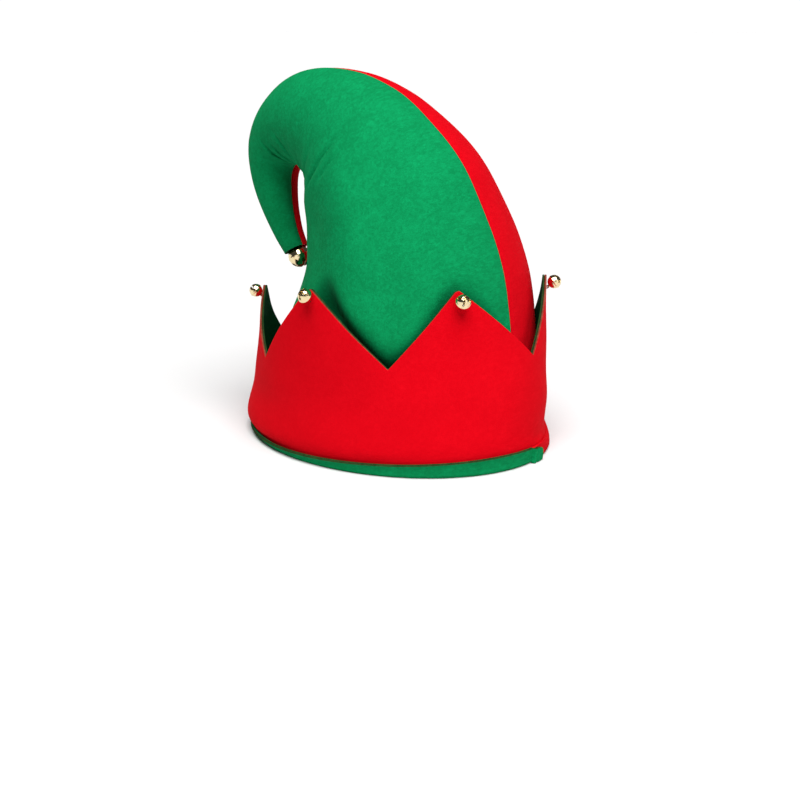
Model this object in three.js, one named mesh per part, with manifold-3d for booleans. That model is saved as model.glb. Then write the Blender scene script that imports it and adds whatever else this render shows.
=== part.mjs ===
// Elf hat in an adult's size: a felt crown that narrows into a curl, a turned-up cuff cut into six points, and bells.
// Millimetres, +Z up. The curl lies over the XZ plane and falls towards -X; the green panel faces -Y, the red one +Y.
import * as THREE from "three";
import { mergeVertices } from "three/addons/utils/BufferGeometryUtils.js";
import Module from "manifold-3d";

const wasm = await Module();
wasm.setup();

// Head hollow and overall height
const headLength = 215; // inside of the rim, from one side seam to the other
const headWidth = 173; // inside of the rim, from front to back
const hatHeight = 256; // floor to the top of the curl

// Felt
const crownFelt = 2;
const cuffFelt = 1.3;
const liningFelt = 1.2;
const clearance = 0.3; // between pieces that touch

// Rolled hem and cuff
const hemHeight = 8; // mean height of the hem's outer leg
const hemSwing = 5.2; // how much higher the leg stands on one side than that mean
const hemTurn = 110; // degrees from the front to where the leg stands highest
const hemCorner = 1.5; // radius of the roll at each side of the flat strip below it
const rimLift = 1.2; // how far the rim leaves the floor at its highest place
const rimLiftTurn = -55; // degrees from the front to that place
const rimLiftReach = 55; // degrees to each side of it
const bellyHeight = 19; // where the cuff swells out most above the hem
const notchHeight = 69; // mean height of the notches between the points
const pointHeight = 46; // mean height of a point above its notches
const pointTipWidth = 2.6;

// Bells
const pointBellDiameter = 9.4;
const tipBellDiameter = 16.5;
const bellWall = 0.7;
const bellBandWidth = 0.9; // crimped edge round the middle of each bell
const bellBandDepth = 0.35;
const pointBellDrop = 3.2; // from the tip of a point down to its bell's centre
const pointBellSag = 38; // degrees that a bell's slots turn down
const shankWire = 0.9;
const shankLoop = 2.6; // across the outside of the sewing loop
const shankReach = 1.2; // how far the loop stands out of the bell
const pelletDiameter = 2.4;

// Crown sections, from the rim to the end of the curl. forward (+X) and up place a section's centre, as shares of
// hatHeight. radius is the felt's middle from that centre to a side seam, and depth the same to its front and back,
// as shares of the rim's. twist is how many degrees its seams are turned. steps is how many strips of facets lead to
// the next row.
const crownSections = [
  { name: "above hem", forward: 0.001, up: 0.035, radius: 0.993, depth: 0.992, twist: 0, steps: 1 },
  { name: "in cuff", forward: 0.008, up: 0.13, radius: 0.948, depth: 0.976, twist: -1, steps: 1 },
  { name: "at notches", forward: 0.036, up: 0.27, radius: 0.852, depth: 0.956, twist: -3, steps: 1 },
  { name: "at tips", forward: 0.055, up: 0.385, radius: 0.764, depth: 0.938, twist: -2, steps: 1 },
  { name: "lower side", forward: 0.047, up: 0.5, radius: 0.698, depth: 0.874, twist: -2, steps: 1 },
  { name: "upper side", forward: 0.01, up: 0.62, radius: 0.624, depth: 0.781, twist: -3, steps: 2 },
  { name: "shoulder", forward: -0.041, up: 0.71, radius: 0.553, depth: 0.693, twist: -2, steps: 2 },
  { name: "rise of bend", forward: -0.102, up: 0.777, radius: 0.472, depth: 0.591, twist: 1, steps: 2 },
  { name: "crest", forward: -0.181, up: 0.822, radius: 0.389, depth: 0.484, twist: 2, steps: 3 },
  { name: "over the top", forward: -0.276, up: 0.842, radius: 0.328, depth: 0.41, twist: 1, steps: 3 },
  { name: "fall of bend", forward: -0.372, up: 0.82, radius: 0.26, depth: 0.326, twist: -2, steps: 3 },
  { name: "turn", forward: -0.429, up: 0.768, radius: 0.199, depth: 0.25, twist: -4, steps: 2 },
  { name: "hanging", forward: -0.449, up: 0.7, radius: 0.155, depth: 0.195, twist: -7, steps: 2 },
  { name: "narrow", forward: -0.438, up: 0.622, radius: 0.126, depth: 0.158, twist: -8, steps: 2 },
  { name: "near end", forward: -0.406, up: 0.537, radius: 0.094, depth: 0.117, twist: -6, steps: 1 },
  { name: "end", forward: -0.372, up: 0.479, radius: 0.076, depth: 0.094, twist: -4, steps: 1 },
];

// Creases where the felt buckles on the inside of the bend. at is the place along the crown, in rows of the table
// above. reach is in degrees from the inner seam. breadth and dent are shares of crownFelt.
const bendCreases = [
  { at: 7.1, reach: 66, breadth: 2.6, dent: 0.9 },
  { at: 7.9, reach: 80, breadth: 2.8, dent: 1.1 },
  { at: 8.7, reach: 78, breadth: 2.6, dent: 1 },
  { at: 9.5, reach: 84, breadth: 2.6, dent: 1.1 },
  { at: 10.3, reach: 70, breadth: 2.2, dent: 0.9 },
];

// Points of the cuff. turn is where a point's tip stands, in degrees from the front, and notchTurn where the notch
// after it does. tip is the tip's height over the mean one's, counted from the floor, and notch the same for the
// notch. spread is how far the tip stands out or in, as a share of the cuff's size at the rim. belly is how far the
// cuff swells out above the hem, as a share of that size.
const cuffPoints = [
  { turn: -120, tip: 0.93, notchTurn: -90, notch: 0.91, spread: 0.95, belly: 0.042 },
  { turn: -60, tip: 0.905, notchTurn: -30, notch: 0.9, spread: 0.915, belly: 0.055 },
  { turn: -0.3, tip: 1.045, notchTurn: 29, notch: 1.035, spread: 1, belly: 0.02 },
  { turn: 54.5, tip: 1.072, notchTurn: 93, notch: 1.06, spread: 0.96, belly: 0 },
  { turn: 121, tip: 1.045, notchTurn: 150, notch: 1.06, spread: 0.95, belly: -0.01 },
  { turn: 180, tip: 1, notchTurn: 210, notch: 0.98, spread: 0.985, belly: 0 },
];

const meshSides = 18; // facets round half of the crown
const seamDraw = 0.5; // how far the seams pull the felt in, as a share of crownFelt
const seamDrawReach = 14; // degrees
const cuffUpperStrips = 2; // facets from the top of the cuff's swelling to its cut edge

const felt = (name, colour) =>
  new THREE.MeshStandardMaterial({ name, color: colour, roughness: 0.95, metalness: 0 });
const greenFelt = felt("green felt", 0x089a58);
const redFelt = felt("red felt", 0xe30a1c);
const paleGold = new THREE.MeshStandardMaterial({
  name: "pale gold",
  color: 0xd9bd78,
  roughness: 0.22,
  metalness: 1,
});

const rad = THREE.MathUtils.degToRad;
const fade = (x, from, to) => 1 - THREE.MathUtils.smoothstep(x, from, to);
const bump = (x) => Math.exp(-x * x);

// Layers at the rim, from the head outwards. Each value is how far the middle of a layer lies from the head hollow.
const crownOffset = crownFelt / 2;
const liningOffset = crownOffset + crownFelt / 2 + clearance + liningFelt / 2;
const cuffOffset = liningOffset + liningFelt / 2 + clearance + cuffFelt / 2;
const hemOffset = cuffOffset + cuffFelt / 2 + clearance + crownFelt / 2;
const rimRadius = headLength / 2 + crownOffset;
const rimDepth = headWidth / 2 + crownOffset;
const cuffFoot = crownFelt + clearance; // lower edge of the cuff, inside the rolled hem
const meanTipHeight = notchHeight + pointHeight;

// A place on the oval rim: turn in degrees from the front, and how far out of the head hollow it lies. The oval has
// flat facets, the same ones in every layer of felt, so that the layers stay parallel.
function rimPoint(turn, offset, height, share = 1) {
  const facet = 180 / meshSides;
  const corner = (count) =>
    new THREE.Vector3(
      (headLength / 2 + offset) * share * Math.sin(rad(count * facet)),
      -(headWidth / 2 + offset) * share * Math.cos(rad(count * facet)),
      height,
    );
  const first = Math.floor(turn / facet);
  return corner(first).lerp(corner(first + 1), turn / facet - first);
}

// The rim leaves the floor a little on one side, and the felt above it follows.
function lifted(point, turn) {
  const away = Math.abs(THREE.MathUtils.euclideanModulo(turn - rimLiftTurn + 180, 360) - 180);
  point.z += rimLift * fade(away, 0, rimLiftReach) * fade(point.z, 0, notchHeight);
  return point;
}

// A closed solid of one thickness round the middle surface that a grid of points gives: grid[along][round]. Where the
// sheet isn't closed round, the grid's first and last columns lie past its side edges and only steer them.
function feltSheet(grid, thickness, closedRound) {
  const along = grid.length;
  const past = closedRound ? 0 : 1;
  const round = grid[0].length - 2 * past;
  const at = (i, j) => grid[i][closedRound ? (j + round) % round : j + past];
  const front = [];
  const back = [];
  for (let i = 0; i < along; i++) {
    for (let j = 0; j < round; j++) {
      const here = at(i, j);
      const across = at(i, j + 1).clone().sub(at(i, j - 1)).normalize();
      const before = here.clone().sub(at(Math.max(i - 1, 0), j)).normalize();
      const after = at(Math.min(i + 1, along - 1), j).clone().sub(here).normalize();
      const isEdge = i === 0 || i === along - 1;
      const out = across.cross(before.clone().add(after)).normalize();
      // At a sharp turn the wall keeps its thickness, as a mitre does.
      const mitre = isEdge ? 1 : 1 / Math.sqrt((1 + before.dot(after)) / 2);
      front.push(here.clone().addScaledVector(out, (mitre * thickness) / 2));
      back.push(here.clone().addScaledVector(out, (-mitre * thickness) / 2));
    }
  }
  const outside = (i, j) => i * round + (j % round);
  const inside = (i, j) => along * round + outside(i, j);
  const faces = [];
  const quad = (a, b, c, d) => faces.push(a, b, c, a, c, d);
  const strips = closedRound ? round : round - 1;
  for (let j = 0; j < strips; j++) {
    for (let i = 0; i < along - 1; i++) {
      quad(outside(i, j), outside(i, j + 1), outside(i + 1, j + 1), outside(i + 1, j));
      quad(inside(i, j), inside(i + 1, j), inside(i + 1, j + 1), inside(i, j + 1));
    }
    quad(outside(0, j), inside(0, j), inside(0, j + 1), outside(0, j + 1));
    quad(outside(along - 1, j), outside(along - 1, j + 1), inside(along - 1, j + 1), inside(along - 1, j));
  }
  for (let i = 0; !closedRound && i < along - 1; i++) {
    quad(outside(i, 0), outside(i + 1, 0), inside(i + 1, 0), inside(i, 0));
    quad(outside(i, round - 1), inside(i, round - 1), inside(i + 1, round - 1), outside(i + 1, round - 1));
  }
  const geometry = new THREE.BufferGeometry().setFromPoints([...front, ...back]);
  geometry.setIndex(faces);
  geometry.computeVertexNormals();
  return geometry;
}

// Smooth lines through the rows of the crown's table
const centreLine = new THREE.CatmullRomCurve3(
  crownSections.map((row) => new THREE.Vector3(row.forward * hatHeight, 0, row.up * hatHeight)),
  false,
  "catmullrom",
);
const girthLine = new THREE.CatmullRomCurve3(
  crownSections.map((row) => new THREE.Vector3(row.radius * rimRadius, row.depth * rimDepth, 0)),
  false,
  "catmullrom",
);
const twistLine = new THREE.CatmullRomCurve3(
  crownSections.map((row, i) => new THREE.Vector3(i, row.twist, 0)),
  false,
  "catmullrom",
);
const rowSpacing = centreLine.getLength() / (crownSections.length - 1);

// How far the felt is drawn in by the side seams and by the creases of the bend
function drawnIn(at, turn) {
  const fromInnerSeam = Math.abs(THREE.MathUtils.euclideanModulo(turn + 90 + 180, 360) - 180);
  const fromSeam = Math.min(fromInnerSeam, 180 - fromInnerSeam);
  let draw = seamDraw * bump(fromSeam / seamDrawReach) * THREE.MathUtils.smoothstep(at, 1, 3);
  for (const crease of bendCreases) {
    const away = ((at - crease.at) * rowSpacing) / (crease.breadth * crownFelt);
    draw += crease.dent * bump(away) * fade(fromInnerSeam, 0, crease.reach);
  }
  return draw * crownFelt;
}

// A point in the middle of the crown's felt: at is the place along the crown in rows of its table.
function crownPoint(at, turn) {
  const share = at / (crownSections.length - 1);
  const upright = new THREE.Vector3(0, 0, 1);
  const heading = centreLine.getTangent(share).lerp(upright, fade(at, 2, 5)).normalize();
  const sideways = new THREE.Vector3(heading.z, 0, -heading.x);
  const frontways = new THREE.Vector3(0, -1, 0);
  const girth = girthLine.getPoint(share);
  const draw = drawnIn(at, turn);
  const angle = rad(turn + twistLine.getPoint(share).y);
  const point = centreLine
    .getPoint(share)
    .addScaledVector(sideways, (girth.x - draw) * Math.sin(angle))
    .addScaledVector(frontways, (girth.y - draw) * Math.cos(angle));
  return lifted(point, turn);
}

// Half of the crown, with the hem that is rolled outwards and up at its lower edge. middle is the turn of its middle.
function crownPanel(middle) {
  const row = (radius, pointAt) => {
    const margin = THREE.MathUtils.radToDeg(Math.asin(clearance / 2 / radius));
    const facet = (180 - 2 * margin) / meshSides;
    const turns = [middle - 90 - margin - facet];
    for (let j = 0; j <= meshSides; j++) turns.push(middle - 90 + margin + facet * j);
    turns.push(middle + 90 + margin + facet);
    return turns.map(pointAt);
  };
  const foot = crownFelt / 2 + hemCorner;
  const legTop = (turn) => {
    const top = Math.max(hemHeight + hemSwing * Math.cos(rad(turn - hemTurn)), foot + clearance);
    return lifted(rimPoint(turn, hemOffset, top), turn);
  };
  const rows = [row(rimRadius, legTop)];
  const quarter = [0, 45, 90].map((a) => [hemCorner * (1 - Math.cos(rad(a))), hemCorner * Math.sin(rad(a))]);
  const roll = [
    ...quarter.map(([inwards, fall]) => [hemOffset - inwards, foot - fall]),
    ...quarter.toReversed().map(([outwards, fall]) => [crownOffset + outwards, foot - fall]),
  ];
  for (const [offset, height] of roll) {
    rows.push(row(rimRadius, (turn) => lifted(rimPoint(turn, offset, height), turn)));
  }
  crownSections.forEach((section, i) => {
    const steps = i < crownSections.length - 1 ? section.steps : 1;
    for (let step = 0; step < steps; step++) {
      rows.push(row(section.radius * rimRadius, (turn) => crownPoint(i + step / steps, turn)));
    }
  });
  return feltSheet(rows, crownFelt, false);
}

// The cuff's cut edge runs straight from notch to tip and back. Each stretch goes from one turn to the next.
const cuffStretches = cuffPoints.flatMap((point, i) => {
  const next = cuffPoints[(i + 1) % cuffPoints.length];
  const nextTurn = next.turn + (i + 1 < cuffPoints.length ? 0 : 360);
  const tip = point.tip * meanTipHeight;
  const notch = point.notch * notchHeight;
  return [
    { from: point.turn, to: point.notchTurn, start: tip, end: notch, point, next, shareFrom: 0 },
    { from: point.notchTurn, to: nextTurn, start: notch, end: next.tip * meanTipHeight, point, next, shareFrom: 0.5 },
  ];
});
const cuffStart = cuffPoints[0].turn;

// The cuff's shape at a turn: the height of its cut edge, and how far it spreads at the tips and swells at the foot
function cuffAt(turn) {
  const place = cuffStart + THREE.MathUtils.euclideanModulo(turn - cuffStart, 360);
  const stretch = cuffStretches.find(({ to }) => place < to) ?? cuffStretches.at(-1);
  const { from, to, start, end, point, next, shareFrom } = stretch;
  const share = (place - from) / (to - from);
  const width = ((to - from) / 360) * (Math.PI / 2) * (headLength + headWidth);
  const flat = (Math.abs(end - start) * pointTipWidth) / 2 / width;
  const along = THREE.MathUtils.smootherstep(shareFrom + share / 2, 0, 1);
  return {
    top: Math.min(THREE.MathUtils.lerp(start, end, share), Math.max(start, end) - flat),
    spread: THREE.MathUtils.lerp(point.spread, next.spread, along),
    belly: THREE.MathUtils.lerp(point.belly, next.belly, along),
  };
}

// A point in the middle of a layer of the cuff, at a height over the floor
function cuffPoint(turn, height, offset) {
  const { spread, belly } = cuffAt(turn);
  const lean = THREE.MathUtils.smoothstep(height, notchHeight * 0.2, meanTipHeight);
  const swell = THREE.MathUtils.smoothstep(height, hemHeight, bellyHeight) * fade(height, bellyHeight, notchHeight * 0.75);
  return lifted(rimPoint(turn, offset, height, 1 + (spread - 1) * lean + belly * swell), turn);
}

// Turns of a cuff layer's columns: the corners of the oval's facets, the notches, and both ends of each blunt tip
function cuffTurns() {
  const girth = (Math.PI / 2) * (headLength + headWidth);
  const blunt = ((pointTipWidth / girth) * 360) / 2;
  const turns = cuffPoints.flatMap((point) => [point.turn - blunt, point.turn + blunt, point.notchTurn]);
  const facet = 180 / meshSides;
  const first = Math.ceil((cuffStart - blunt) / facet);
  for (let count = first; count < first + 2 * meshSides; count++) {
    if (!turns.some((turn) => Math.abs(turn - count * facet) < blunt / 2)) turns.push(count * facet);
  }
  return turns.sort((a, b) => a - b);
}

function cuffLayer(offset, thickness) {
  const turns = cuffTurns();
  const rows = [cuffFoot, hemHeight, bellyHeight].map((height) => turns.map((turn) => cuffPoint(turn, height, offset)));
  for (let strip = 1; strip <= cuffUpperStrips; strip++) {
    const heightAt = (turn) => THREE.MathUtils.lerp(bellyHeight, cuffAt(turn).top, strip / cuffUpperStrips);
    rows.push(turns.map((turn) => cuffPoint(turn, heightAt(turn), offset)));
  }
  return feltSheet(rows, thickness, true);
}

// Closed meshes as solids that can be joined and cut, and back
function solid(geometry) {
  const bare = geometry.clone();
  bare.deleteAttribute("normal");
  bare.deleteAttribute("uv");
  const merged = mergeVertices(bare, 1e-4);
  return new wasm.Manifold(
    new wasm.Mesh({
      numProp: 3,
      vertProperties: merged.attributes.position.array,
      triVerts: new Uint32Array(merged.index.array),
    }),
  );
}

function geometryOf(shape) {
  const mesh = shape.getMesh();
  const geometry = new THREE.BufferGeometry();
  geometry.setAttribute("position", new THREE.BufferAttribute(mesh.vertProperties, 3));
  geometry.setIndex(new THREE.BufferAttribute(mesh.triVerts, 1));
  geometry.computeVertexNormals();
  return geometry;
}

function ball(radius, sides, bands) {
  const profile = [];
  for (let i = 0; i <= bands; i++) {
    const angle = -Math.PI / 2 + (Math.PI * i) / bands;
    const onAxis = i === 0 || i === bands;
    profile.push(new THREE.Vector2(onAxis ? 0 : radius * Math.cos(angle), radius * Math.sin(angle)));
  }
  return new THREE.LatheGeometry(profile, sides);
}

// A round bell: a thin shell in two halves, crossed slots in the half at +Y, a sewing loop at -Y, centre at the origin.
function bellShell(diameter, sides, bands) {
  const radius = diameter / 2;
  const band = new THREE.CylinderGeometry(radius + bellBandDepth, radius + bellBandDepth, bellBandWidth, sides);
  const slotWidth = diameter * 0.1;
  const slotLength = diameter * 0.86;
  const slotDepth = radius * 0.72;
  const slot = new THREE.BoxGeometry(slotLength, slotDepth, slotWidth).translate(0, radius, 0);
  const loop = new THREE.TorusGeometry((shankLoop - shankWire) / 2, shankWire / 2, 5, 6);
  loop.translate(0, -(radius + shankReach - shankLoop / 2), 0);
  return geometryOf(
    solid(ball(radius, sides, bands))
      .add(solid(band))
      .subtract(solid(ball(radius - bellWall, sides, bands)))
      .subtract(solid(slot))
      .subtract(solid(slot.clone().rotateY(Math.PI / 2)))
      .add(solid(loop)),
  );
}

const hat = new THREE.Group();
const assembly = new THREE.Group();
hat.add(assembly);

function addPiece(name, geometry, material, parent = assembly) {
  const mesh = new THREE.Mesh(geometry, material);
  mesh.name = name;
  parent.add(mesh);
  return mesh;
}

// A bell and the pellet inside it, in a group turned so that the slots face along direction.
function addBell(name, diameter, sides, bands, centre, direction) {
  const group = new THREE.Group();
  group.position.copy(centre);
  group.quaternion.setFromUnitVectors(new THREE.Vector3(0, 1, 0), direction);
  assembly.add(group);
  addPiece(name, bellShell(diameter, sides, bands), paleGold, group);
  // The pellet lies on the lowest place of the shell.
  const down = new THREE.Vector3(0, 0, -1).applyQuaternion(group.quaternion.clone().invert());
  const pellet = addPiece(name + "_pellet", new THREE.IcosahedronGeometry(pelletDiameter / 2, 1), paleGold, group);
  const roundness = Math.cos(Math.PI / sides) * Math.cos(Math.PI / bands / 2);
  const inner = (diameter / 2 - bellWall) * roundness;
  pellet.position.copy(down.multiplyScalar(inner - pelletDiameter / 2 - clearance));
}

addPiece("crown_green_panel", crownPanel(0), greenFelt);
addPiece("crown_red_panel", crownPanel(180), redFelt);
addPiece("cuff_outer", cuffLayer(cuffOffset, cuffFelt), redFelt);
addPiece("cuff_lining", cuffLayer(liningOffset, liningFelt), greenFelt);

// The bell at the end of the curl sits in its open end.
{
  const last = crownSections.length - 1;
  const end = centreLine.getPoint(1);
  const heading = centreLine.getTangent(1);
  const radius = tipBellDiameter / 2 + bellBandDepth;
  const mouth = crownSections[last].radius * rimRadius - crownFelt / 2 - clearance * 2;
  const standOff = Math.sqrt(Math.max(radius * radius - mouth * mouth, 0));
  addBell("tip_bell", tipBellDiameter, 14, 8, end.addScaledVector(heading, standOff + clearance), heading);
}

// One bell is sewn to the outside of each point.
cuffPoints.forEach((point, i) => {
  const tip = cuffAt(point.turn).top;
  const height = tip - pointBellDrop;
  const seat = cuffPoint(point.turn, height, cuffOffset);
  const round = cuffPoint(point.turn + 1, height, cuffOffset).sub(cuffPoint(point.turn - 1, height, cuffOffset));
  const rise = cuffPoint(point.turn, tip, cuffOffset).sub(seat).normalize();
  const out = round.cross(rise).normalize();
  const reach = cuffFelt / 2 + clearance + bellBandDepth + pointBellDiameter / 2;
  const sagged = out.clone().applyAxisAngle(rise.clone().cross(out).normalize(), -rad(pointBellSag));
  addBell(`point_bell_${i + 1}`, pointBellDiameter, 10, 6, seat.addScaledVector(out, reach), sagged);
});

// The hat stands over the middle of its own footprint.
const box = new THREE.Box3().setFromObject(assembly, true);
assembly.position.set(-(box.min.x + box.max.x) / 2, -(box.min.y + box.max.y) / 2, -box.min.z);

export default hat;
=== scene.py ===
# An elf hat of brushed felt in an adult's size. A green front panel and a red back panel are sewn into a
# tall crown that narrows into a hanging curl. A red cuff with a green lining is turned up round it and cut
# into six points, and seven small round bells are sewn on. Lengths in the sections are millimetres, and mm
# turns them into metres.
import math

import bmesh
import bpy
from mathutils import Matrix, Vector, noise


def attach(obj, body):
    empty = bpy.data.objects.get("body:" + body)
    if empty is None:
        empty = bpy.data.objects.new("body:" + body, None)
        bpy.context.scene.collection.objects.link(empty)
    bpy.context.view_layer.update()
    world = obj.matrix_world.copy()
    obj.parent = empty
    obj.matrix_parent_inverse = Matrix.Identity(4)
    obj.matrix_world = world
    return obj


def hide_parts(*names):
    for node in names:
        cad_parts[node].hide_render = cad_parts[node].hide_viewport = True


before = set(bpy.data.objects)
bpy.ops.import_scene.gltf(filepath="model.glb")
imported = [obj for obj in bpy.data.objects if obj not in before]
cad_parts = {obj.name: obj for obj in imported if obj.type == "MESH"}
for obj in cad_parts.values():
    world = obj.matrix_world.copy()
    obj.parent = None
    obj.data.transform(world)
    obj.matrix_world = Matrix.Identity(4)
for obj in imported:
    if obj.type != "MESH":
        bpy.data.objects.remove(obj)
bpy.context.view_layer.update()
mm = 0.001

# Camera
# It stands 38 degrees round to the right of the hat's front and a little above its middle, as the
# photographer did.
rim_middle = Vector((8.6, 0.7, 0)) * mm
eye_turn = math.radians(38)
lens = bpy.data.cameras.new("photographer")
lens.sensor_width = 36
lens.lens = 56.07
lens.clip_start = 0.05
photographer = bpy.data.objects.new("photographer", lens)
photographer.location = rim_middle + Vector((860 * math.sin(eye_turn), -860 * math.cos(eye_turn), 281)) * mm
line_of_sight = rim_middle + Vector((1.4, 1.1, 23)) * mm - photographer.location
photographer.rotation_euler = line_of_sight.to_track_quat("-Z", "Y").to_euler()
bpy.context.scene.collection.objects.link(photographer)
bpy.context.scene.camera = photographer
bpy.context.scene.view_settings.view_transform = "Standard"

# Studio
# A pale floor that runs out of sight, a white room, and two soft lamps on the right: a strong high one and
# a weak low one beside it.
studio = bmesh.new()
bmesh.ops.create_grid(studio, x_segments=1, y_segments=1, size=60)
floor_mesh = bpy.data.meshes.new("floor")
studio.to_mesh(floor_mesh)
studio.free()
floor = bpy.data.objects.new("floor", floor_mesh)
bpy.context.scene.collection.objects.link(floor)
pale_floor = bpy.data.materials.new("pale floor")
pale_floor.use_nodes = True
pale_floor.node_tree.nodes["Principled BSDF"].inputs["Base Color"].default_value = (0.58, 0.58, 0.58, 1)
pale_floor.node_tree.nodes["Principled BSDF"].inputs["Roughness"].default_value = 0.9
floor_mesh.materials.append(pale_floor)

# The room is white near the ground and dark above, so that the bells have something dark to mirror
room = bpy.data.worlds.new("studio room")
room.use_nodes = True
walls = room.node_tree.nodes
around = walls.new("ShaderNodeTexCoord")
split = walls.new("ShaderNodeSeparateXYZ")
brightness = walls.new("ShaderNodeMapRange")
brightness.interpolation_type = "SMOOTHSTEP"
brightness.inputs["From Min"].default_value = 0.03
brightness.inputs["From Max"].default_value = 0.13
brightness.inputs["To Min"].default_value = 1.05
brightness.inputs["To Max"].default_value = 0.05
room.node_tree.links.new(around.outputs["Generated"], split.inputs["Vector"])
room.node_tree.links.new(split.outputs["Z"], brightness.inputs["Value"])
room.node_tree.links.new(brightness.outputs["Result"], walls["Background"].inputs["Strength"])
walls["Background"].inputs["Color"].default_value = (1, 1, 1, 1)
bpy.context.scene.world = room


def far_lamp(name, turn, height, softness, strength):
    lamp = bpy.data.lights.new(name, "SUN")
    lamp.angle = math.radians(softness)
    lamp.energy = strength
    holder = bpy.data.objects.new(name, lamp)
    turn, height = math.radians(turn), math.radians(height)
    level = math.cos(height)
    towards = Vector((math.sin(turn) * level, -math.cos(turn) * level, math.sin(height)))
    holder.location = towards * 2
    holder.rotation_euler = towards.to_track_quat("Z", "Y").to_euler()
    bpy.context.scene.collection.objects.link(holder)


far_lamp("high lamp", 44, 65, 50, 6.0)
far_lamp("side lamp", 85, 22, 40, 0.45)

# Crown
# Two panels of brushed polyester felt, 2 mm thick, green in front and red behind, sewn together along the
# outside and the inside of the curl. Their lower edges are rolled outwards and up as a hem that covers the
# foot of the cuff.
head_length = 215
head_width = 173
hat_height = 256
crown_felt = 2
lining_felt = 1.2
cuff_felt = 1.3
slack = 0.3
rim_lift = 1.2
notch_height = 69
crown_offset = crown_felt / 2
lining_offset = crown_felt + slack + lining_felt / 2
cuff_offset = lining_offset + lining_felt / 2 + slack + cuff_felt / 2
hem_offset = cuff_offset + cuff_felt / 2 + slack + crown_felt / 2
hem_corner = 1.5

# Sections of the crown from the rim to the end of the curl: how far forward and up the middle lies as
# shares of the hat's height, half the breadth and half the depth as shares of the rim's, and the turn of
# the seams in degrees
crown_sections = (
    (0.001, 0.035, 0.993, 0.992, 0),
    (0.008, 0.13, 0.948, 0.976, -1),
    (0.036, 0.27, 0.852, 0.956, -3),
    (0.055, 0.385, 0.764, 0.938, -2),
    (0.047, 0.5, 0.698, 0.874, -2),
    (0.01, 0.62, 0.624, 0.781, -3),
    (-0.041, 0.71, 0.553, 0.693, -2),
    (-0.102, 0.777, 0.472, 0.591, 1),
    (-0.181, 0.825, 0.392, 0.487, 2),
    (-0.277, 0.846, 0.332, 0.414, 1),
    (-0.372, 0.82, 0.26, 0.326, -2),
    (-0.429, 0.768, 0.199, 0.25, -4),
    (-0.449, 0.7, 0.155, 0.195, -7),
    (-0.438, 0.622, 0.126, 0.158, -8),
    (-0.406, 0.537, 0.094, 0.117, -6),
    (-0.372, 0.479, 0.076, 0.094, -4),
)
curl_end = len(crown_sections) - 1

# Creases where the felt buckles inside the bend: place along the crown where a crease begins and ends,
# degrees from the inner seam where it begins and ends, breadth and depth
bend_creases = (
    (6.3, 6.65, 78, 130, 2.6, 2.2),
    (6.65, 6.95, 60, 130, 2.8, 3.6),
    (7.35, 7.5, 40, 100, 3.2, 2.0),
    (8.1, 8.3, 0, 74, 3.0, 2.2),
    (8.6, 8.95, 0, 78, 2.6, 2.4),
    (9.0, 9.8, 22, 100, 2.6, 3.0),
    (9.8, 10.2, 20, 88, 2.4, 2.4),
    (10.6, 10.5, 25, 105, 2.6, 2.8),
)

# How far the crown stands back behind the cuff: turn, depth, and the heights over the cuff's cut edge
# between which it comes forward again
cuff_pockets = (
    (-180, 3, -10, 8),
    (-120, 4, -10, 8),
    (-60, 8, -14, 8),
    (-25, 14, -24, 13),
    (10, 17.5, -25, 13),
    (27, 15, -23, 11),
    (38, 8, -17, 5),
    (54, 6, -13, 8),
    (66, 8, -9, 14),
    (92, 1.5, -10, 6),
    (128, 0, -10, 6),
    (180, 3, -10, 8),
)

# The cuff's points, which the crown stands back from: the turn of a point's tip, the tip's height as a
# share of the mean one's, the turn of the notch after it, that notch's height as a share of the mean one's,
# the rim's share that the tip leans in to, and how far the foot swells out
cuff_points = (
    (-120, 0.93, -87.5, 0.87, 0.95, 0.04),
    (-60, 0.905, -30, 0.9, 0.915, 0.052),
    (-0.3, 1.045, 29, 1.035, 1, 0.02),
    (54.5, 1.072, 93, 1.06, 0.96, 0),
    (121, 1.045, 146, 1.0, 0.966, -0.02),
    (180, 1, 210, 0.98, 0.985, 0),
)
mean_tip_height = notch_height + 46
tip_width = 2.6
section_gap = 26.5
bend_bulge = 3.2
flank_draw = 4.5
shoulder_draw = 2.2
seam_groove = 1.5
cuff_start = cuff_points[0][0]
girth = math.pi / 2 * (head_length + head_width)


def cuff_at(turn):
    """The height of the cut edge, the lean and the swell at a turn."""
    turn = cuff_start + (turn - cuff_start) % 360
    for i, (tip_turn, tip, notch_turn, notch, lean, swell) in enumerate(cuff_points):
        following = cuff_points[(i + 1) % len(cuff_points)]
        next_turn = following[0] + (360 if i == len(cuff_points) - 1 else 0)
        if turn >= next_turn:
            continue
        low = notch * notch_height
        if turn < notch_turn:
            share = (turn - tip_turn) / (notch_turn - tip_turn)
            high, width, along = tip * mean_tip_height, notch_turn - tip_turn, share / 2
            edge = high + (low - high) * share
        else:
            share = (turn - notch_turn) / (next_turn - notch_turn)
            high, width, along = following[1] * mean_tip_height, next_turn - notch_turn, 0.5 + share / 2
            edge = low + (high - low) * share
        blunt = (high - low) * tip_width / 2 / (width / 360 * girth)
        along = along**3 * (along * (along * 6 - 15) + 10)
        lean += (following[4] - lean) * along
        swell += (following[5] - swell) * along
        return min(edge, high - blunt), lean, swell


def ease(x, start, end):
    x = min(max((x - start) / (end - start), 0), 1)
    return x * x * (3 - 2 * x)


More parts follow.
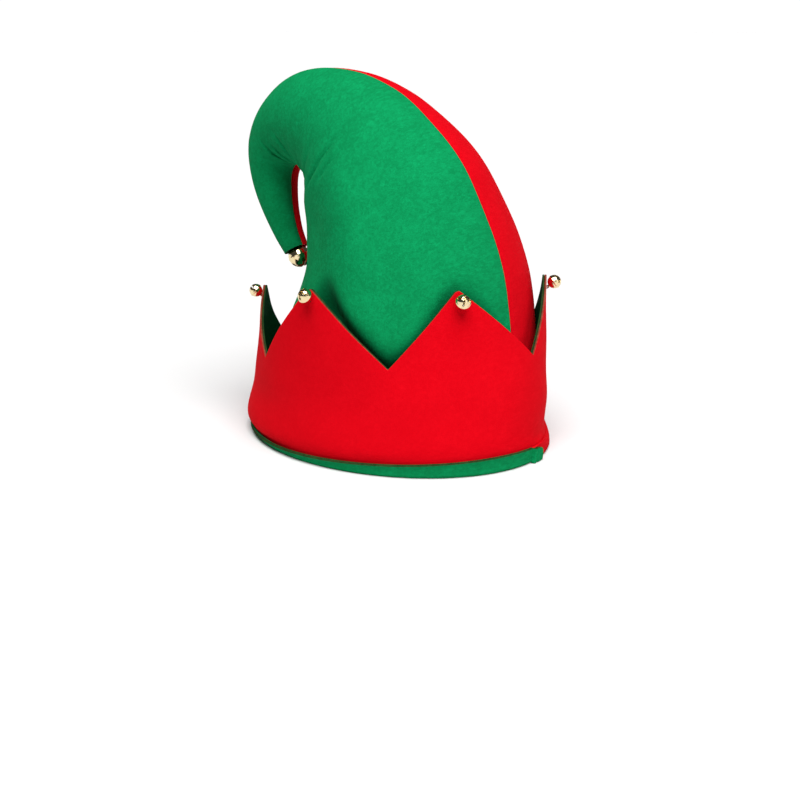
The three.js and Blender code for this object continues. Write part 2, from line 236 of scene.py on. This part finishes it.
def between_sections(column, at):
    values = [row[column] for row in crown_sections]
    i = min(max(int(at), 0), curl_end - 1)
    t = at - i
    b, c = values[i], values[i + 1]
    a = values[i - 1] if i > 0 else 2 * b - c
    d = values[i + 2] if i + 2 <= curl_end else 2 * c - b
    return b + 0.5 * t * (c - a + t * (2 * a - 5 * b + 4 * c - d + t * (3 * (b - c) + d - a)))


def crown_middle(at):
    return Vector((between_sections(0, at), 0, between_sections(1, at))) * hat_height


def lifted(point, turn):
    away = abs((turn + 55 + 180) % 360 - 180)
    point.z += rim_lift * (1 - ease(away, 0, 55)) * (1 - ease(point.z, 0, notch_height))
    return point


def rim_point(turn, offset, height, share=1):
    angle = math.radians(turn)
    breadth = (head_length / 2 + offset) * share
    depth = (head_width / 2 + offset) * share
    return Vector((breadth * math.sin(angle), -depth * math.cos(angle), height))


def soft_dents(point, size, depth):
    return depth * noise.noise(point / size + Vector((3.1, 7.7, 1.9)))


def pocket(point):
    """How far the crown stands back behind the cuff at a point."""
    turn = math.degrees(math.atan2(point.x / head_length, -point.y / head_width))
    for (first, *start), (second, *end) in zip(cuff_pockets, cuff_pockets[1:]):
        if first <= turn <= second:
            share = (turn - first) / (second - first)
            depth, low, high = (a + (b - a) * share for a, b in zip(start, end))
    edge = sum(cuff_at(turn + step)[0] for step in (-4, -2, 0, 2, 4)) / 5
    return depth * (1 - ease(point.z, edge + low, edge + high)) * ease(point.z, 20, 50)


def ridge(turn):
    """A soft upright ridge left of the middle of the front panel, with a flatter stretch beside it."""
    return 2.6 * math.exp(-(((turn + 18) / 16) ** 2)) - 2.6 * math.exp(-(((turn - 13) / 13) ** 2))


def crown_radius(at):
    return between_sections(2, at) * (head_length / 2 + crown_offset)


# A place on the crown's middle surface. draw is how far the felt stands in from the plain sections: at the
# seams, in the creases, in soft dents, at the left flank behind the curl and at the right shoulder. Under
# the bend it bulges.
def crown_point(at, turn, seam_distance):
    heading = (crown_middle(at + 0.01) - crown_middle(at - 0.01)).normalized()
    heading = heading.lerp(Vector((0, 0, 1)), 1 - ease(at, 2, 5)).normalized()
    sideways = Vector((heading.z, 0, -heading.x))
    from_inner = abs((turn + 90 + 180) % 360 - 180)
    from_seam = min(from_inner, 180 - from_inner)
    draw = crown_felt * 0.5 * math.exp(-((from_seam / 14) ** 2)) * ease(at, 1, 3)
    draw += seam_groove * math.exp(-((seam_distance / 1.6) ** 2)) * ease(at, 0, 1)
    for first, last, begins, ends, breadth, depth in bend_creases:
        share = (from_inner - begins) / (ends - begins)
        away = (at - first - (last - first) * share) * section_gap / breadth
        if abs(away) < 6 and 0 <= max(share, 0 if begins else 0.01) <= 1:
            along = (ease(share, 0, 0.25) if begins else 1) * (1 - ease(share, 0.5, 1))
            draw += depth * along * (math.exp(-away * away) - 0.4 * math.exp(-((away / 2.2) ** 2)))
    angle = math.radians(turn + between_sections(4, at))
    breadth = crown_radius(at)
    depth = between_sections(3, at) * (head_width / 2 + crown_offset)
    round_about = sideways * math.sin(angle) + Vector((0, -math.cos(angle), 0))
    middle = crown_middle(at)
    point = middle + sideways * (breadth * math.sin(angle)) + Vector((0, -depth * math.cos(angle), 0))
    draw += soft_dents(point, 46, 1.5) * ease(at, 1.5, 3) * (1 - ease(at, 12, 14))
    draw += ridge(turn) * ease(at, 1.6, 3.4) * (1 - ease(at, 5, 7))
    draw -= bend_bulge * math.exp(-(((at - 6.7) / 0.55) ** 2) - (from_inner / 70) ** 2)
    at_flank = math.exp(-(((turn + 48) / 20) ** 2) - ((point.z - 116) / 22) ** 2)
    draw += flank_draw * at_flank * (1 - ease(at, 5, 7))
    draw += shoulder_draw * math.exp(-(((turn - 115) / 30) ** 2) - ((at - 6.4) / 1.3) ** 2)
    if at < 5.5:
        draw += pocket(point)
    return lifted(point - round_about * draw, turn)


def hem_top(turn):
    height = 8 + 5.2 * math.cos(math.radians(turn - 110)) - 5 * math.exp(-(((turn - 112) / 26) ** 2))
    return max(height, crown_felt / 2 + hem_corner + slack)


def lobe(turn):
    """How much of the red hem's loose swelling behind the side seam there is at a turn, from 0 to 1."""
    return math.exp(-(((turn - 116) / 22) ** 2))


# The hem's path across the felt, from its cut upper edge down, under and up again: offset from the head and
# height
def hem_path(turn):
    top = hem_top(turn) + 1.6 * lobe(turn)
    foot = crown_felt / 2 + hem_corner
    inwards = 0.7 * lobe(turn) + 1.0 * math.exp(-(((turn + 72) / 34) ** 2))
    path = []
    for i in range(9):
        share = i / 8
        round_front = math.sin(math.pi * min(share * 1.1, 1)) ** 0.8
        swell = (0.4 - 0.3 * lobe(turn)) * round_front - inwards * (1 - share)
        swell += (2.1 - 4.2 * lobe(turn)) * (1 - share) ** 3
        path.append((hem_offset + swell, top + (foot - top) * share))
    for angle in (18, 36, 54, 72, 90):
        a = math.radians(angle)
        path.append((hem_offset - hem_corner * (1 - math.cos(a)), foot - hem_corner * math.sin(a)))
    for angle in (90, 72, 54, 36, 18, 0):
        a = math.radians(angle)
        path.append((crown_offset + hem_corner * (1 - math.cos(a)), foot - hem_corner * math.sin(a)))
    return path


# Rows and columns of the crown's grid: closer rows in the bend, and closer columns beside the seams, by
# their distance
crown_steps = [0.13 * i for i in range(47)]
crown_steps += [6.1 + 0.09 * i for i in range(57)]
crown_steps += [11.23 + 0.19 * i for i in range(20)]
crown_steps = [at for at in crown_steps if at < curl_end - 0.02] + [curl_end]
seam_margins = (0.06, 0.5, 1.0, 1.7, 2.8, 4.4)
middle_columns = 54


def felt_sheet(name, columns, rows, place, thickness, closed=False):
    """A grid of cloth, bent to its place on the hat and given its thickness."""
    cloth = bmesh.new()
    bmesh.ops.create_grid(cloth, x_segments=columns - 1, y_segments=rows - 1, size=1)
    spots = {}
    for vert in cloth.verts:
        j = round((vert.co.x + 1) / 2 * (columns - 1))
        i = round((vert.co.y + 1) / 2 * (rows - 1))
        spots[i, j] = vert
    for (i, j), vert in spots.items():
        vert.co = place(i, j) * mm + rim_middle
    if closed:
        bmesh.ops.remove_doubles(cloth, verts=cloth.verts, dist=0.00002)
    mesh = bpy.data.meshes.new(name)
    cloth.to_mesh(mesh)
    cloth.free()
    mesh.shade_smooth()
    piece = bpy.data.objects.new(name, mesh)
    bpy.context.scene.collection.objects.link(piece)
    wall = piece.modifiers.new("thickness", "SOLIDIFY")
    wall.thickness = thickness * mm
    wall.offset = 0
    wall.use_even_offset = True
    wall.thickness_clamp = 0
    wall.material_offset_rim = 1
    return piece


def soften(piece, width, levels):
    """Rounds the cut edges, then makes the whole piece finer."""
    edge = piece.modifiers.new("cut edge", "BEVEL")
    edge.width = width * mm
    edge.segments = 2
    edge.limit_method = "ANGLE"
    edge.angle_limit = math.radians(50)
    if levels:
        fine = piece.modifiers.new("fine", "SUBSURF")
        fine.levels = levels
        fine.render_levels = levels


def crown_panel(name, middle):
    hem_rows = len(hem_path(0))
    rows = hem_rows + len(crown_steps)
    columns = middle_columns + 2 * len(seam_margins)

    def place(i, j):
        at = crown_steps[i - hem_rows] if i >= hem_rows else 0
        radius = crown_radius(at)
        side = min(j, columns - 1 - j)
        if side < len(seam_margins):
            distance = seam_margins[side]
            from_middle = 90 - math.degrees(distance / radius)
        else:
            edge = 90 - math.degrees(seam_margins[-1] / radius)
            from_middle = edge * (1 - 2 * (side - len(seam_margins) + 1) / (middle_columns + 1))
            distance = math.radians(90 - from_middle) * radius
        turn = middle + (from_middle if j >= columns / 2 else -from_middle)
        if i >= hem_rows:
            return crown_point(at, turn, distance)
        offset, height = hem_path(turn if turn < 250 else turn - 360)[i]
        tuck = 0.5 * math.exp(-((distance / 1.0) ** 2)) * ease(height, 0, 2)
        return lifted(rim_point(turn, offset - tuck, height), turn)

    piece = felt_sheet(name, columns, rows, place, crown_felt)
    soften(piece, 0.45, 1)
    return piece


# Brushed felt: short fibres lie in all directions over slow clumps, so the colour is mottled and the
# surface has nap
def felt_nap():
    group = bpy.data.node_groups.new("felt nap", "ShaderNodeTree")
    for name in ("Shade", "Colour", "Light"):
        group.interface.new_socket(name, in_out="INPUT", socket_type="NodeSocketColor")
    group.interface.new_socket("Depth", in_out="INPUT", socket_type="NodeSocketFloat")
    group.interface.new_socket("Color", in_out="OUTPUT", socket_type="NodeSocketColor")
    group.interface.new_socket("Roughness", in_out="OUTPUT", socket_type="NodeSocketFloat")
    group.interface.new_socket("Normal", in_out="OUTPUT", socket_type="NodeSocketVector")
    nodes = group.nodes
    links = group.links
    given = nodes.new("NodeGroupInput")
    made = nodes.new("NodeGroupOutput")
    cloth = nodes.new("ShaderNodeTexCoord")

    def fibres(turn, scale, stretch, detail):
        lay = nodes.new("ShaderNodeMapping")
        lay.inputs["Rotation"].default_value = turn
        lay.inputs["Scale"].default_value = (1, stretch, 1)
        links.new(cloth.outputs["Object"], lay.inputs["Vector"])
        spun = nodes.new("ShaderNodeTexNoise")
        spun.inputs["Scale"].default_value = scale
        spun.inputs["Detail"].default_value = detail
        spun.inputs["Roughness"].default_value = 0.6
        spun.inputs["Distortion"].default_value = 0.7
        links.new(lay.outputs["Vector"], spun.inputs["Vector"])
        return spun.outputs["Fac"]

    def join(operation, first, second, third=None):
        node = nodes.new("ShaderNodeMath")
        node.operation = operation
        for socket, value in zip(node.inputs, (first, second, third)):
            if value is None:
                continue
            if isinstance(value, (int, float)):
                socket.default_value = value
            else:
                links.new(value, socket)
        return node.outputs[0]

    leaning = fibres((0.5, 0.9, 0.3), 450, 0.3, 3)
    crossing = fibres((-0.7, -0.4, 1.1), 520, 0.36, 3)
    clumps = fibres((0.2, 0, 0.6), 75, 0.7, 3)
    lint = fibres((1.2, 0.4, -0.6), 2100, 0.3, 2)
    fine = join("MAXIMUM", leaning, crossing)
    both = join("MULTIPLY_ADD", fine, 0.8, join("MULTIPLY", clumps, 0.3))
    dark_or_light = join("MULTIPLY_ADD", both, 3.2, -1.6)
    shaded = nodes.new("ShaderNodeMix")
    shaded.data_type = "RGBA"
    links.new(dark_or_light, shaded.inputs["Factor"])
    links.new(given.outputs["Shade"], shaded.inputs["A"])
    links.new(given.outputs["Colour"], shaded.inputs["B"])
    bright = nodes.new("ShaderNodeMix")
    bright.data_type = "RGBA"
    links.new(join("MULTIPLY_ADD", lint, 2.2, -1.3), bright.inputs["Factor"])
    links.new(shaded.outputs["Result"], bright.inputs["A"])
    links.new(given.outputs["Light"], bright.inputs["B"])
    links.new(bright.outputs["Result"], made.inputs["Color"])
    links.new(join("MULTIPLY_ADD", fine, -0.12, 0.98), made.inputs["Roughness"])
    relief = nodes.new("ShaderNodeBump")
    relief.inputs["Distance"].default_value = 0.5 * mm
    links.new(given.outputs["Depth"], relief.inputs["Strength"])
    links.new(join("MULTIPLY_ADD", lint, 0.5, both), relief.inputs["Height"])
    links.new(relief.outputs["Normal"], made.inputs["Normal"])
    return group


nap = felt_nap()


def felt(name, shade, colour, light, depth, sheen):
    material = bpy.data.materials.new(name)
    material.use_nodes = True
    nodes = material.node_tree.nodes
    surface = nodes["Principled BSDF"]
    brushed = nodes.new("ShaderNodeGroup")
    brushed.node_tree = nap
    brushed.inputs["Shade"].default_value = (*shade, 1)
    brushed.inputs["Colour"].default_value = (*colour, 1)
    brushed.inputs["Light"].default_value = (*light, 1)
    brushed.inputs["Depth"].default_value = depth
    material.node_tree.links.new(brushed.outputs["Color"], surface.inputs["Base Color"])
    material.node_tree.links.new(brushed.outputs["Roughness"], surface.inputs["Roughness"])
    material.node_tree.links.new(brushed.outputs["Normal"], surface.inputs["Normal"])
    surface.inputs["Specular IOR Level"].default_value = 0.04
    surface.inputs["Sheen Weight"].default_value = sheen
    surface.inputs["Sheen Roughness"].default_value = 0.45
    surface.inputs["Sheen Tint"].default_value = (*light, 1)
    return material


green_felt = felt("green felt", (0.001, 0.16, 0.049), (0.002, 0.242, 0.079), (0.005, 0.34, 0.12), 0.4, 0.04)
red_felt = felt("red felt", (0.52, 0.0, 0.0045), (0.59, 0.001, 0.0067), (0.64, 0.005, 0.011), 0.2, 0.03)
# The crown's red panel takes the cuff's red felt made darker: painted shade on the back panel.
crown_red_painted_shade = felt(
    "red felt, crown, painted shade", (0.44, 0.0, 0.004), (0.51, 0.001, 0.006), (0.57, 0.005, 0.009), 0.3, 0.03
)
# Cut edges of the green felt are a nearly black green: painted shade for the dark lines along the seams and
# edges.
green_edge_painted_shade = felt(
    "green felt, cut edge, painted shade", (0.01, 0.025, 0.006), (0.025, 0.055, 0.015), (0.05, 0.1, 0.03), 0.6, 0.1
)
# The lining is the same green felt made much darker: painted shade for the deep pocket between the crown and
# the cuff.
lining_felt_painted_shade = felt(
    "green felt, lining, painted shade", (0.001, 0.045, 0.015), (0.002, 0.08, 0.028), (0.004, 0.12, 0.045), 0.4, 0.04
)
# The cuff's red cut edge is a pale tan instead of red: a painted highlight for the light line along its top.
# The bell threads take the same tan.
edge_highlight_and_thread = felt(
    "red felt cut edge, painted highlight, and thread", (0.12, 0.022, 0.012), (0.22, 0.065, 0.035), (0.34, 0.15, 0.085), 0.6, 0.1
)

# Each piece takes its felt and then the colour of its cut edge: painted shade on the green edges, and on the
# red panel the same painted-shade red as its face.
green_panel = crown_panel("crown_green", 0)
green_panel.data.materials.append(green_felt)
green_panel.data.materials.append(green_edge_painted_shade)
red_panel = crown_panel("crown_red", 180)
red_panel.data.materials.append(crown_red_painted_shade)
red_panel.data.materials.append(crown_red_painted_shade)
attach(green_panel, "root")
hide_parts("crown_green_panel")
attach(red_panel, "root")
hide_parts("crown_red_panel")

# Past the side seam the green hem ends in a loose tab with a rounded corner, which lies over the red hem
tab_start = 89.2
tab_end = 96
tab_columns = 28
tab_rows = 11


def tab_place(i, j):
    turn = tab_start + (tab_end - tab_start) * j / (tab_columns - 1)
    offset, height = hem_path(turn)[i]
    bend = math.radians(max(i - 8, 0) * 18)
    corner = 1 - math.sqrt(max(1 - max((turn - 92.6) / 3.5, 0) ** 2, 0))
    height -= max(height - 4, 0) * 0.75 * corner
    fold = 1.1 * math.exp(-(((turn - 91.4) / 0.45) ** 2))
    out = 3.1 * ease(turn, tab_start, 90.1) - 0.2 - fold
    height = max(height - out * math.sin(bend), 1.0)
    return lifted(rim_point(turn, offset + out * math.cos(bend), height), turn)


tab = felt_sheet("hem_tab", tab_columns, tab_rows, tab_place, 1.7)
soften(tab, 0.35, 1)
tab.data.materials.append(green_felt)
tab.data.materials.append(green_edge_painted_shade)
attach(tab, "root")

# Cuff
# A band of red felt with a green lining behind it, cut together into six points. It stands up round the
# crown, and its foot sits in the rolled hem.
cuff_foot = crown_felt + slack


def cuff_point(turn, height, offset):
    edge, lean, swell = cuff_at(turn)
    leaning = ease(height, notch_height * 0.2, mean_tip_height)
    foot = hem_top(turn) + 0.2
    swelling = ease(height, foot, foot + 5) * (1 - ease(height, foot + 5, foot + 34))
    swelling *= 0.8 + 0.2 * (offset - lining_offset) / (cuff_offset - lining_offset)
    point = rim_point(turn, offset, height, 1 + (lean - 1) * leaning + swell * swelling)
    wave = soft_dents(point, 34, 0.9) * ease(height, 14, 40)
    return lifted(point * (1 + wave / 100) - Vector((0, 0, point.z * wave / 100)), turn)


cuff_turns = [turn * 2.0 for turn in range(cuff_start // 2, cuff_start // 2 + 180)]
for tip_turn, _, notch_turn, _, _, _ in cuff_points:
    for side in (-1, -0.5, 0.5, 1):
        cuff_turns.append(tip_turn + side * tip_width / 2 / girth * 360)
    cuff_turns.extend((notch_turn - 0.35, notch_turn, notch_turn + 0.35))
cuff_turns = sorted({cuff_start + (turn - cuff_start) % 360 for turn in cuff_turns})
cuff_turns = [turn for i, turn in enumerate(cuff_turns) if i == 0 or turn - cuff_turns[i - 1] > 0.12]
cuff_turns.append(cuff_turns[0] + 360)
cuff_rows = 22


def cuff_layer(name, offset, thickness):
    def place(i, j):
        turn = cuff_turns[j]
        edge = cuff_at(turn)[0]
        share = i / (cuff_rows - 1)
        return cuff_point(turn, cuff_foot + (edge - cuff_foot) * share, offset)

    piece = felt_sheet(name, len(cuff_turns), cuff_rows, place, thickness, closed=True)
    soften(piece, 0.25, 1)
    return piece


cuff = cuff_layer("cuff", cuff_offset, cuff_felt)
# The cuff's cut edge takes the painted highlight. The lining's felt and its cut edge take painted shade.
cuff.data.materials.append(red_felt)
cuff.data.materials.append(edge_highlight_and_thread)
lining = cuff_layer("lining", lining_offset, lining_felt)
lining.data.materials.append(lining_felt_painted_shade)
lining.data.materials.append(green_edge_painted_shade)
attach(cuff, "root")
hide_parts("cuff_outer")
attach(lining, "root")
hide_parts("cuff_lining")

# Bells
# Round jingle bells pressed from thin brass-plated sheet: two cups crimped together, crossed slots in the
# outer one and a sewing loop on the inner one, with a steel pellet inside. Six of 9.4 mm are sewn to the
# points and one of 16.5 mm sits in the open end of the curl.
small_diameter = 9.4
large_diameter = 16.5
bell_wall = 0.7
bell_crimp = 0.35
pellet_radius = 1.2
loop_wire = 0.9
loop_radius = 0.85
loop_reach = 1.2


def bell_cup(diameter):
    """One bell at the origin, slots towards +Y and its loop at -Y."""
    radius = diameter / 2 * mm
    profile = bmesh.new()
    previous = None
    for i in range(41):
        angle = math.pi * i / 40
        crimp = bell_crimp * mm * math.exp(-(((angle - math.pi / 2) * radius / (0.42 * mm)) ** 4))
        reach = radius + crimp
        vert = profile.verts.new((reach * math.sin(angle), reach * math.cos(angle), 0))
        if previous:
            profile.edges.new((previous, vert))
        previous = vert
    bmesh.ops.spin(
        profile,
        geom=profile.verts[:] + profile.edges[:],
        cent=(0, 0, 0),
        axis=(0, 1, 0),
        angle=math.tau,
        steps=56,
        use_merge=True,
    )
    bmesh.ops.remove_doubles(profile, verts=profile.verts, dist=0.000005)
    bmesh.ops.recalc_face_normals(profile, faces=profile.faces)
    mesh = bpy.data.meshes.new("cup")
    profile.to_mesh(mesh)
    profile.free()
    cup = bpy.data.objects.new("cup", mesh)
    bpy.context.scene.collection.objects.link(cup)
    wall = cup.modifiers.new("wall", "SOLIDIFY")
    wall.thickness = bell_wall * mm
    wall.offset = -1
    cutters = []
    lying = Matrix.Rotation(math.pi / 2, 4, "X")
    quarter_turn = Matrix.Rotation(math.pi / 2, 3, "Y")
    for turned in (False, True):
        slot = bmesh.new()
        bmesh.ops.create_cube(slot, size=1)
        size = Vector((diameter * 0.78, diameter * 0.7, diameter * 0.1)) * mm
        bmesh.ops.scale(slot, verts=slot.verts, vec=size)
        bmesh.ops.translate(slot, verts=slot.verts, vec=(0, radius * 0.95, 0))
        for side in (-1, 1):
            bmesh.ops.create_cone(
                slot,
                cap_ends=True,
                segments=20,
                radius1=diameter * 0.085 * mm,
                radius2=diameter * 0.085 * mm,
                depth=diameter * 0.7 * mm,
                matrix=Matrix.Translation((side * diameter * 0.37 * mm, radius * 0.75, 0)) @ lying,
            )
        if turned:
            bmesh.ops.rotate(slot, verts=slot.verts, cent=(0, 0, 0), matrix=quarter_turn)
        cut_mesh = bpy.data.meshes.new("slot")
        slot.to_mesh(cut_mesh)
        slot.free()
        cutter = bpy.data.objects.new("slot", cut_mesh)
        bpy.context.scene.collection.objects.link(cutter)
        cutters.append(cutter)
        cut = cup.modifiers.new("slot", "BOOLEAN")
        cut.operation = "DIFFERENCE"
        cut.solver = "EXACT"
        cut.use_self = True
        cut.object = cutter
    round_off = cup.modifiers.new("round", "BEVEL")
    round_off.width = 0.012 * diameter * mm
    round_off.segments = 2
    round_off.limit_method = "ANGLE"
    round_off.angle_limit = math.radians(50)
    finished = bpy.data.meshes.new_from_object(cup.evaluated_get(bpy.context.evaluated_depsgraph_get()))
    for spare in [cup, *cutters]:
        bpy.data.objects.remove(spare)
    bell = bmesh.new()
    bell.from_mesh(finished)
    ring = bmesh.new()
    bmesh.ops.create_circle(ring, segments=12, radius=loop_wire / 2 * mm)
    bmesh.ops.translate(ring, verts=ring.verts, vec=(loop_radius * mm, 0, 0))
    upright = Matrix.Rotation(math.pi / 2, 3, "X")
    bmesh.ops.rotate(ring, verts=ring.verts, cent=(loop_radius * mm, 0, 0), matrix=upright)
    bmesh.ops.spin(
        ring,
        geom=ring.verts[:] + ring.edges[:],
        cent=(0, 0, 0),
        axis=(0, 0, 1),
        angle=math.tau,
        steps=20,
        use_merge=True,
    )
    bmesh.ops.translate(ring, verts=ring.verts, vec=(0, -(diameter / 2 + loop_reach - 1.3) * mm, 0))
    bmesh.ops.recalc_face_normals(ring, faces=ring.faces)
    loop_mesh = bpy.data.meshes.new("loop")
    ring.to_mesh(loop_mesh)
    ring.free()
    bell.from_mesh(loop_mesh)
    bell.to_mesh(finished)
    bell.free()
    finished.shade_smooth()
    return finished


def pressed_brass():
    material = bpy.data.materials.new("pale gold plate")
    material.use_nodes = True
    nodes = material.node_tree.nodes
    links = material.node_tree.links
    surface = nodes["Principled BSDF"]
    where = nodes.new("ShaderNodeTexCoord")
    tarnish = nodes.new("ShaderNodeTexNoise")
    tarnish.inputs["Scale"].default_value = 420
    tarnish.inputs["Detail"].default_value = 4
    links.new(where.outputs["Object"], tarnish.inputs["Vector"])
    tint = nodes.new("ShaderNodeMix")
    tint.data_type = "RGBA"
    tint.inputs["A"].default_value = (0.93, 0.82, 0.55, 1)
    tint.inputs["B"].default_value = (0.72, 0.55, 0.27, 1)
    links.new(tarnish.outputs["Fac"], tint.inputs["Factor"])
    links.new(tint.outputs["Result"], surface.inputs["Base Color"])
    gloss = nodes.new("ShaderNodeMath")
    gloss.operation = "MULTIPLY_ADD"
    gloss.inputs[1].default_value = 0.16
    gloss.inputs[2].default_value = 0.05
    links.new(tarnish.outputs["Fac"], gloss.inputs[0])
    links.new(gloss.outputs[0], surface.inputs["Roughness"])
    surface.inputs["Metallic"].default_value = 1
    dimples = nodes.new("ShaderNodeBump")
    dimples.inputs["Strength"].default_value = 0.12
    dimples.inputs["Distance"].default_value = 0.15 * mm
    links.new(tarnish.outputs["Fac"], dimples.inputs["Height"])
    links.new(dimples.outputs["Normal"], surface.inputs["Normal"])
    return material


pale_gold = pressed_brass()
small_bell = bell_cup(small_diameter)
large_bell = bell_cup(large_diameter)
for mesh in (small_bell, large_bell):
    mesh.materials.clear()
    mesh.materials.append(pale_gold)


def hang_bell(name, mesh, diameter, centre, direction, node):
    turned = Vector((0, 1, 0)).rotation_difference(direction).to_matrix().to_4x4()
    own = mesh.copy()
    own.name = name
    own.transform(Matrix.Translation(centre * mm + rim_middle) @ turned)
    bell = bpy.data.objects.new(name, own)
    bpy.context.scene.collection.objects.link(bell)
    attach(bell, "root")
    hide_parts(node)


# Crossed turns of thread sew each small bell to its point
def bell_thread(name, centre, direction, diameter):
    wraps = bmesh.new()
    for lean in (-28, 0, 28):
        strand = bmesh.new()
        bmesh.ops.create_circle(strand, segments=8, radius=0.2 * mm)
        upright = Matrix.Rotation(math.pi / 2, 3, "X")
        bmesh.ops.rotate(strand, verts=strand.verts, cent=(0, 0, 0), matrix=upright)
        bmesh.ops.translate(strand, verts=strand.verts, vec=(0.95 * mm, 0, 0))
        bmesh.ops.spin(
            strand,
            geom=strand.verts[:] + strand.edges[:],
            cent=(0, 0, 0),
            axis=(0, 0, 1),
            angle=math.tau,
            steps=18,
            use_merge=True,
        )
        bmesh.ops.scale(strand, verts=strand.verts, vec=(1, 1.35, 1))
        crossed = Matrix.Rotation(math.radians(90 + lean), 3, "Y")
        bmesh.ops.rotate(strand, verts=strand.verts, cent=(0, 0, 0), matrix=crossed)
        bmesh.ops.recalc_face_normals(strand, faces=strand.faces)
        part = bpy.data.meshes.new("strand")
        strand.to_mesh(part)
        strand.free()
        wraps.from_mesh(part)
    turned = Vector((0, 1, 0)).rotation_difference(direction).to_matrix().to_4x4()
    seat = centre - direction * (diameter / 2 + loop_reach - 0.2)
    bmesh.ops.transform(wraps, verts=wraps.verts, matrix=Matrix.Translation(seat * mm + rim_middle) @ turned)
    mesh = bpy.data.meshes.new(name)
    wraps.to_mesh(mesh)
    wraps.free()
    mesh.shade_smooth()
    mesh.materials.append(edge_highlight_and_thread)
    thread = bpy.data.objects.new(name, mesh)
    bpy.context.scene.collection.objects.link(thread)
    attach(thread, "root")


def pellet_drop(diameter):
    """From a bell's centre down to its pellet, which lies on the wall."""
    return Vector((0, 0, diameter / 2 - bell_wall - pellet_radius - 0.1))


# How far each bell's seat lies below its point's tip, and how many degrees it is turned from it
bell_drops = (3.2, 4.5, 3.2, 5.8, 4.8, 3.2)
bell_turns = (0, 0, 0.5, 1.4, 0, 0)
pellet_places = {}
for i in range(len(cuff_points)):
    tip_turn = cuff_points[i][0]
    turn = tip_turn + bell_turns[i]
    tip = cuff_at(tip_turn)[0]
    seat_height = tip - bell_drops[i]
    seat = cuff_point(turn, seat_height, cuff_offset)
    before, after = (cuff_point(turn + step, seat_height, cuff_offset) for step in (-1, 1))
    round_about = after - before
    rise = (cuff_point(turn, tip, cuff_offset) - seat).normalized()
    outwards = round_about.cross(rise).normalized()
    centre = seat + outwards * (cuff_felt / 2 + slack + bell_crimp + small_diameter / 2)
    sag = Matrix.Rotation(math.radians(-38), 3, rise.cross(outwards).normalized())
    hang_bell(f"bell_{i + 1}", small_bell, small_diameter, centre, sag @ outwards, f"point_bell_{i + 1}")
    bell_thread(f"bell_thread_{i + 1}", centre, sag @ outwards, small_diameter)
    pellet_places[f"point_bell_{i + 1}_pellet"] = centre - pellet_drop(small_diameter)

heading = (crown_middle(curl_end) - crown_middle(curl_end - 0.02)).normalized()
mouth = crown_radius(curl_end) - crown_felt / 2 - 2 * slack
stand_off = math.sqrt((large_diameter / 2 + bell_crimp) ** 2 - mouth**2) + slack
curl_bell_centre = crown_middle(curl_end) + heading * stand_off
hang_bell("curl_bell", large_bell, large_diameter, curl_bell_centre, heading, "tip_bell")
pellet_places["tip_bell_pellet"] = curl_bell_centre - pellet_drop(large_diameter)

# Pellets
# Small steel balls, 2.4 mm across, that lie loose in the bells and show through their slots.
dark_steel = bpy.data.materials.new("dull steel")
dark_steel.use_nodes = True
steel_surface = dark_steel.node_tree.nodes["Principled BSDF"]
steel_surface.inputs["Base Color"].default_value = (0.32, 0.3, 0.27, 1)
steel_surface.inputs["Metallic"].default_value = 1
steel_surface.inputs["Roughness"].default_value = 0.4
for name, place in pellet_places.items():
    ball = bmesh.new()
    bmesh.ops.create_icosphere(ball, subdivisions=3, radius=pellet_radius * mm)
    bmesh.ops.translate(ball, verts=ball.verts, vec=place * mm + rim_middle)
    mesh = bpy.data.meshes.new(name.replace("_pellet", "_ball"))
    ball.to_mesh(mesh)
    ball.free()
    mesh.shade_smooth()
    mesh.materials.append(dark_steel)
    pellet = bpy.data.objects.new(mesh.name, mesh)
    bpy.context.scene.collection.objects.link(pellet)
    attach(pellet, "root")
    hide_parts(name)
